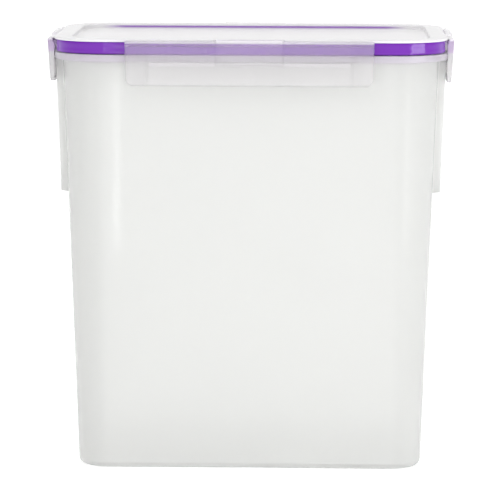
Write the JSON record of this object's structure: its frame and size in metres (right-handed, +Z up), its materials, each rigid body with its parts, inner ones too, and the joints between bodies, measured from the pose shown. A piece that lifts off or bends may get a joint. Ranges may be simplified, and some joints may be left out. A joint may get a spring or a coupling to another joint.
{
  "type": "food canister",
  "caption": "Tall rectangular food canister: tapered translucent tub with rounded corners, recessed lid, exposed gasket and snap latches on living hinges on every side.",
  "frame": {"origin": "middle of the base, on the surface it stands on", "axes": "+Z up, +X along the long side, -Y is the front"},
  "size_m": [0.2354, 0.1634, 0.2514],
  "materials": {
    "tub_plastic": "frosted translucent polypropylene",
    "lid_plastic": "satin translucent polypropylene",
    "latch_plastic": "satin translucent polypropylene",
    "gasket_silicone": "soft purple silicone"
  },
  "bodies": {
    "canister": {"canister_body": "tub_plastic"},
    "lid": {"lid_panel": "lid_plastic", "gasket": "gasket_silicone", "front_hinge_film": "latch_plastic", "right_hinge_film": "latch_plastic", "back_hinge_film": "latch_plastic", "left_hinge_film": "latch_plastic"},
    "front_latch": {"front_latch_flap": "latch_plastic", "front_latch_snap_rib": "latch_plastic"},
    "right_latch": {"right_latch_flap": "latch_plastic", "right_latch_snap_rib": "latch_plastic"},
    "back_latch": {"back_latch_flap": "latch_plastic", "back_latch_snap_rib": "latch_plastic"},
    "left_latch": {"left_latch_flap": "latch_plastic", "left_latch_snap_rib": "latch_plastic"}
  },
  "joints": [
    {"name": "lid_lift", "type": "slide", "parent": "canister", "child": "lid", "axis": [0, 0, 1], "range_m": [0, 0.15], "deforming": ["front_latch_snap_rib", "right_latch_snap_rib", "back_latch_snap_rib", "left_latch_snap_rib"]},
    {"name": "front_latch_hinge", "type": "hinge", "parent": "lid", "child": "front_latch", "pos_m": [0, -0.0802, 0.2488], "axis": [-1, 0, 0], "range_deg": [0, 130], "deforming": ["front_hinge_film"]},
    {"name": "right_latch_hinge", "type": "hinge", "parent": "lid", "child": "right_latch", "pos_m": [0.1162, 0, 0.2488], "axis": [0, -1, 0], "range_deg": [0, 130], "deforming": ["right_hinge_film"]},
    {"name": "back_latch_hinge", "type": "hinge", "parent": "lid", "child": "back_latch", "pos_m": [0, 0.0802, 0.2488], "axis": [1, 0, 0], "range_deg": [0, 130], "deforming": ["back_hinge_film"]},
    {"name": "left_latch_hinge", "type": "hinge", "parent": "lid", "child": "left_latch", "pos_m": [-0.1162, 0, 0.2488], "axis": [0, 1, 0], "range_deg": [0, 130], "deforming": ["left_hinge_film"]}
  ]
}
